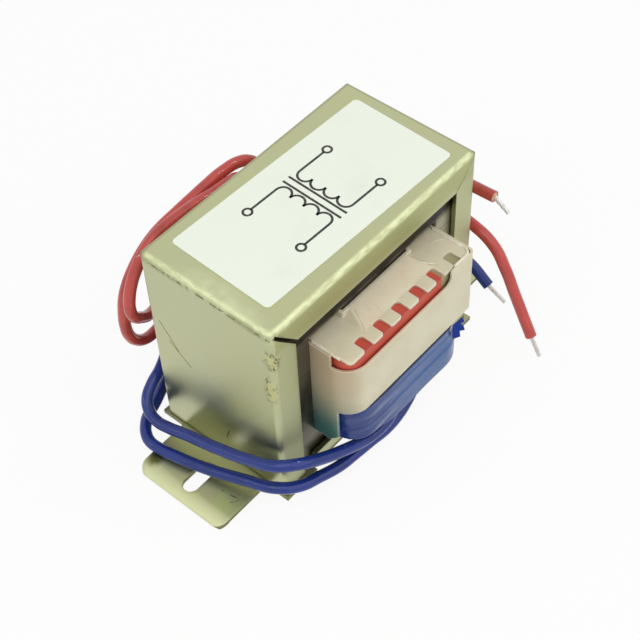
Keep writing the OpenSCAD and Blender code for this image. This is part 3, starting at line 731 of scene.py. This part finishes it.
class TRANSFORMER_OT_stage(Operator):
    """Set up the camera, the floor and the light"""

    bl_idname = "transformer.stage"
    bl_label = "Stage"

    def execute(self, context):
        settings = context.scene.transformer_stage
        self.add_camera(context.scene, settings)
        self.add_floor(context.scene, settings)
        for name, setting, place, size, along in LAMPS:
            self.add_lamp(context.scene, name, getattr(settings, setting), place, size, along)
        self.light_world(context.scene, settings)
        context.scene.view_settings.view_transform = "Standard"
        return {"FINISHED"}

    def add_camera(self, scene, settings):
        """Stand the camera where the photograph was taken from."""
        lens = bpy.data.cameras.new("Camera")
        lens.lens = settings.lens
        lens.clip_start = 10 * MM
        camera = bpy.data.objects.new("Camera", lens)
        stand = Matrix.Translation(settings.place)
        tilt = math.pi / 2 - settings.elevation
        for turn, axis in ((settings.azimuth, "Z"), (tilt, "X"), (-settings.roll, "Z")):
            stand @= Matrix.Rotation(turn, 4, axis)
        camera.matrix_world = stand
        scene.collection.objects.link(camera)
        scene.camera = camera

    def add_floor(self, scene, settings):
        """Lay a wide pale floor that the camera sees as nearly white, with the part's shadow on it."""
        mesh = bpy.data.meshes.new("Floor")
        corners = [(x * FLOOR_REACH, y * FLOOR_REACH, 0) for x, y in ((-1, -1), (1, -1), (1, 1), (-1, 1))]
        mesh.from_pydata(corners, [], [(0, 1, 2, 3)])
        floor = bpy.data.objects.new("Floor", mesh)
        scene.collection.objects.link(floor)
        material, add, shader = start_material(
            "Pale floor", Base_Color=settings.floor, Roughness=0.9, Specular_IOR_Level=0.0)[:3]
        white = add("Emission", {"Color": WHITE, "Strength": 1.0})
        share = add("Math", {0: self.seen_directly(add), 1: FLOOR_WHITENESS}, operation="MULTIPLY")
        mixed = add("MixShader", {0: share, 1: shader.outputs[0], 2: white})
        wire(material.node_tree.nodes["Material Output"], Surface=mixed)
        mesh.materials.append(material)

    def seen_directly(self, add):
        """1 for rays from the camera or by way of a mirror or glass, else 0."""
        path = add("LightPath").node.outputs
        seen = path["Is Camera Ray"]
        for ray in ("Is Glossy Ray", "Is Transmission Ray"):
            seen = add("Math", {0: seen, 1: path[ray]}, operation="MAXIMUM")
        return seen

    def add_lamp(self, scene, name, watts, place, size, along):
        """Hang a lamp that looks at the part and has its length along a direction."""
        lamp = bpy.data.lights.new(name, "AREA")
        lamp.shape = "RECTANGLE"
        lamp.size, lamp.size_y = size
        lamp.energy = watts
        holder = bpy.data.objects.new(name, lamp)
        facing = Vector(place).normalized()
        side = Vector(along).cross(facing).normalized()
        turn = Matrix((side, facing.cross(side), facing)).transposed().to_4x4()
        holder.matrix_world = Matrix.Translation(place) @ turn
        scene.collection.objects.link(holder)

    def light_world(self, scene, settings):
        """Light the part from all round, and show white to the camera and in reflections."""
        world = bpy.data.worlds.new("Studio")
        world.use_nodes = True
        background = world.node_tree.nodes["Background"]
        background.inputs["Color"].default_value = WHITE
        add = partial(add_node, world.node_tree)
        strength = add("MapRange", {"Value": self.seen_directly(add), "To Min": settings.ambient})
        wire(background, Strength=strength)
        scene.world = world


class TRANSFORMER_OT_leads(Operator):
    """Lay the insulated leads along their routes, each with its bare twisted tip"""

    bl_idname = "transformer.leads"
    bl_label = "Leads"

    def execute(self, context):
        settings = context.scene.transformer_leads
        red_ends = [route[-1] for node, (*_, route) in LEADS.items() if node.startswith("red")]
        insulation = {
            "red": extruded_pvc("Red PVC insulation, extruded", settings.red, red_ends),
            "blue": extruded_pvc("Blue PVC insulation, extruded", settings.blue, []),
        }
        tin = tinned_copper(settings)
        for node, (millimetres, tip_end, route) in LEADS.items():
            hue = node.split("_")[0]
            points = [Vector(p) * MM for p in route]
            tip_node = node.replace("lead", "tip")
            strands = twisted_strands(
                tip_node + "_strands", points[-1], Vector(tip_end) * MM, settings.strand, settings.lay)
            tip = new_piece(tip_node + "_strands", strands, tin)
            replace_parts(tip, tip_node)
            tube = smooth_tube(node + "_insulation", points, settings.diameter / 2)
            lead = new_piece(node + "_insulation", tube, insulation[hue])
            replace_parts(lead, node)
        return {"FINISHED"}


class TRANSFORMER_OT_sheet(Operator):
    """Finish the plated cover and base plate"""

    bl_idname = "transformer.sheet"
    bl_label = "Cover and base plate"

    def execute(self, context):
        dress(chromated_zinc(context.scene.transformer_sheet), "cover", "base_plate")
        return {"FINISHED"}


class TRANSFORMER_OT_label(Operator):
    """Finish the label and print a plain winding symbol on it"""

    bl_idname = "transformer.label"
    bl_label = "Label"

    def execute(self, context):
        settings = context.scene.transformer_label
        dress(label_film(settings), "label")
        symbol = bmesh.new()
        for points in self.symbol_lines():
            add_stroke(symbol, [Vector(point) * MM for point in points], settings.stroke)
        above = Vector(settings.middle) + Vector((0, 0, settings.print_depth))
        symbol.transform(Matrix.Translation(above) @ Matrix.Rotation(settings.turn, 4, "Z"))
        mesh = bpy.data.meshes.new("label_symbol")
        symbol.to_mesh(mesh)
        symbol.free()
        thicken(new_piece("label_symbol", mesh, printing_ink(settings)), settings.print_depth)
        return {"FINISHED"}

    def symbol_lines(self):
        """Lines in millimetres of two coils, two core bars and four terminals."""
        radius, turns, offset = 1.7, 4, 3.2
        bar, overhang = 0.8, 0.6
        terminal, ring = 11.0, 0.9
        arc_steps, ring_steps = 12, 16
        half_turn = [math.pi * (0.5 - step / arc_steps) for step in range(arc_steps + 1)]
        full_turn = [math.tau * step / ring_steps for step in range(ring_steps + 1)]
        top = radius * turns
        lines = [[(x, -top - overhang), (x, top + overhang)] for x in (-bar, bar)]
        for side in (-1, 1):
            for turn in range(turns):
                middle = top - radius * (2 * turn + 1)
                lines.append([(side * (offset - radius * math.cos(swing)), middle + radius * math.sin(swing))
                              for swing in half_turn])
            for end in (-top, top):
                lines.append([(side * offset, end), (side * (terminal - ring), end)])
                lines.append([(side * terminal + ring * math.cos(swing), end + ring * math.sin(swing))
                              for swing in full_turn])
        return lines


class TRANSFORMER_OT_core(Operator):
    """Finish the laminated core and the wire of the windings"""

    bl_idname = "transformer.core"
    bl_label = "Core and windings"

    def execute(self, context):
        settings = context.scene.transformer_coil
        dress(varnished_steel(settings), "core_e_stack", "core_i_stack")
        dress(enamelled_copper(settings), "primary_winding", "secondary_winding")
        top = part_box("secondary_winding")[1][2]
        round_corners("secondary_winding", WINDING_CORNER * MM, top)
        return {"FINISHED"}


class TRANSFORMER_OT_bobbin(Operator):
    """Finish the bobbin and the shroud, and lay the trails of glue between them"""

    bl_idname = "transformer.bobbin"
    bl_label = "Bobbin and shroud"

    def execute(self, context):
        settings = context.scene.transformer_coil
        dress(moulded_nylon(settings), "bobbin")
        flange_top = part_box("bobbin")[0][2] + FLANGE_THICKNESS * MM
        round_corners("bobbin", FLANGE_CORNER * MM, flange_top)
        dress(shroud_plastic(settings), "front_shroud", "rear_shroud")
        glue = dried_glue(settings)
        for name, radius, points in GLUE:
            trail = smooth_tube(name, [Vector(point) * MM for point in points], radius * MM)
            new_piece(name, trail, glue)
        return {"FINISHED"}


class TRANSFORMER_OT_tapes(Operator):
    """Finish the red tape, wind the blue one and leave its torn end standing"""

    bl_idname = "transformer.tapes"
    bl_label = "Tapes"

    def execute(self, context):
        settings = context.scene.transformer_coil
        dress(red_tape(settings), "primary_tape")
        band = new_piece("secondary_tape_band", self.wound_band(), blue_tape(settings))
        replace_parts(band, "secondary_tape")
        thicken(band, settings.wound)
        flap = new_piece("secondary_tape_flap", self.torn_flap(), torn_tape(settings))
        thicken(flap, settings.single)
        return {"FINISHED"}

    def wound_band(self):
        """Mesh of the blue tape: tight round the coil, stepped at its turns, creased at the front left."""
        lowest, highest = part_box("secondary_tape")
        half_x, half_y, top = (value / MM for value in highest)
        bottom = lowest[2] / MM
        outline = self.band_outline(half_x, half_y)
        around, levels = len(outline), 36
        points = [self.band_point(place, out, level / levels, bottom, top)
                  for level in range(levels + 1) for place, out in outline]
        faces = []
        for start in range(0, levels * around, around):
            for step in range(around):
                after = (step + 1) % around
                faces.append((start + step, start + after, start + around + after, start + around + step))
        mesh = bpy.data.meshes.new("secondary_tape_band")
        mesh.from_pydata([Vector(point) * MM for point in points], [], faces)
        mesh.shade_smooth()
        return mesh

    def band_outline(self, half_x, half_y):
        """Points round the coil, in millimetres, each with its outward direction."""
        outline = []
        arc, straight = 10, 40
        middles = [Vector((side_x * (half_x - radius), side_y * (half_y - radius)))
                   for side_x, side_y, radius in TAPE_CORNERS]
        for quarter, middle in enumerate(middles):
            following = (quarter + 1) % len(middles)
            radius, next_radius = TAPE_CORNERS[quarter][2], TAPE_CORNERS[following][2]
            for step in range(arc + 1):
                swing = math.pi / 2 * (quarter + step / arc)
                out = Vector((math.cos(swing), math.sin(swing)))
                outline.append((middle + out * radius, out))
            start = outline[-1][0]
            end = middles[following] + out * next_radius
            for step in range(1, straight):
                outline.append((start.lerp(end, step / straight), out))
        return outline

    def band_point(self, place, out, share, bottom, top):
        """Point of the band, in millimetres, at a share of its height."""
        x, y = place
        front = rise(-out.y, 0.3, 0.8)
        left = rise(-x, -2, 9)

        # In front the lower edge hangs over the flange: little at the left, lowest in a dip near the middle
        least, more, dip = 0.1, 1.3, 0.7
        dip_place, dip_width = -2.5, 6
        sag = least + more * rise(x, -13, -5) + dip * math.exp(-((x - dip_place) / dip_width) ** 2)
        lower_edge = bottom - sag * front
        upper_edge = top - 0.05
        z = lower_edge + (upper_edge - lower_edge) * share

        # The film puckers, most at the front left
        pucker_width, pucker_height = 5, 1.8
        smooth, puckered = 0.03, 0.13
        puckers = noise.noise(Vector((x / pucker_width, y / pucker_width, z / pucker_height)))
        puckers *= smooth + puckered * left * front

        # An outer turn ends at a slanting edge low down, and an inner one shows above a second edge
        outer, inner, step = 0.16, 0.12, 0.15
        outer_edge, inner_edge = 15.6 + 0.03 * x, 19.2 - 0.05 * x
        turns = outer * rise(outer_edge - z, -step, step) - inner * rise(z - inner_edge, -step, step)

        # The top is tucked in under the shroud, and at the front right the slack film bellies out
        tucked, slack = 0.55, 0.3
        tuck = -tucked * rise(z, top - 1.3, top - 0.7)
        belly = slack * front * rise(x, 0, 11) * rise(19 - z, 0, 5)
        moved = place + out * (puckers + turns + tuck + belly)
        return moved.x, moved.y, z

    def torn_flap(self):
        """Mesh of the torn end, which stands off the coil's right front corner."""
        mesh = bpy.data.meshes.new("secondary_tape_flap")
        mesh.from_pydata([Vector((x, TORN_PLANE_Y, z)) * MM for x, z in TORN_OUTLINE], [],
                         [tuple(range(len(TORN_OUTLINE)))])
        return mesh


class TRANSFORMER_PT_panel(Panel):
    """Steps that dress the transformer, in order"""

    bl_idname = "TRANSFORMER_PT_panel"
    bl_label = "Isolation transformer"
    bl_space_type = "VIEW_3D"
    bl_region_type = "UI"
    bl_category = "Transformer"

    def draw(self, context):
        for operator in OPERATORS:
            self.layout.operator(operator.bl_idname)


SETTINGS = {
    "transformer_stage": StageSettings,
    "transformer_leads": LeadSettings,
    "transformer_sheet": SheetSettings,
    "transformer_coil": CoilSettings,
    "transformer_label": LabelSettings,
}
OPERATORS = (
    TRANSFORMER_OT_stage, TRANSFORMER_OT_leads, TRANSFORMER_OT_sheet, TRANSFORMER_OT_label,
    TRANSFORMER_OT_core, TRANSFORMER_OT_bobbin, TRANSFORMER_OT_tapes,
)
CLASSES = (*SETTINGS.values(), *OPERATORS, TRANSFORMER_PT_panel)


def register():
    for item in CLASSES:
        bpy.utils.register_class(item)
    for name, group in SETTINGS.items():
        setattr(bpy.types.Scene, name, PointerProperty(type=group))


def unregister():
    for name in SETTINGS:
        delattr(bpy.types.Scene, name)
    for item in reversed(CLASSES):
        bpy.utils.unregister_class(item)


def main():
    register()
    bpy.ops.transformer.stage()
    bpy.ops.transformer.leads()
    bpy.ops.transformer.sheet()
    bpy.ops.transformer.label()
    bpy.ops.transformer.core()
    bpy.ops.transformer.bobbin()
    bpy.ops.transformer.tapes()


if __name__ == "__main__":
    main()
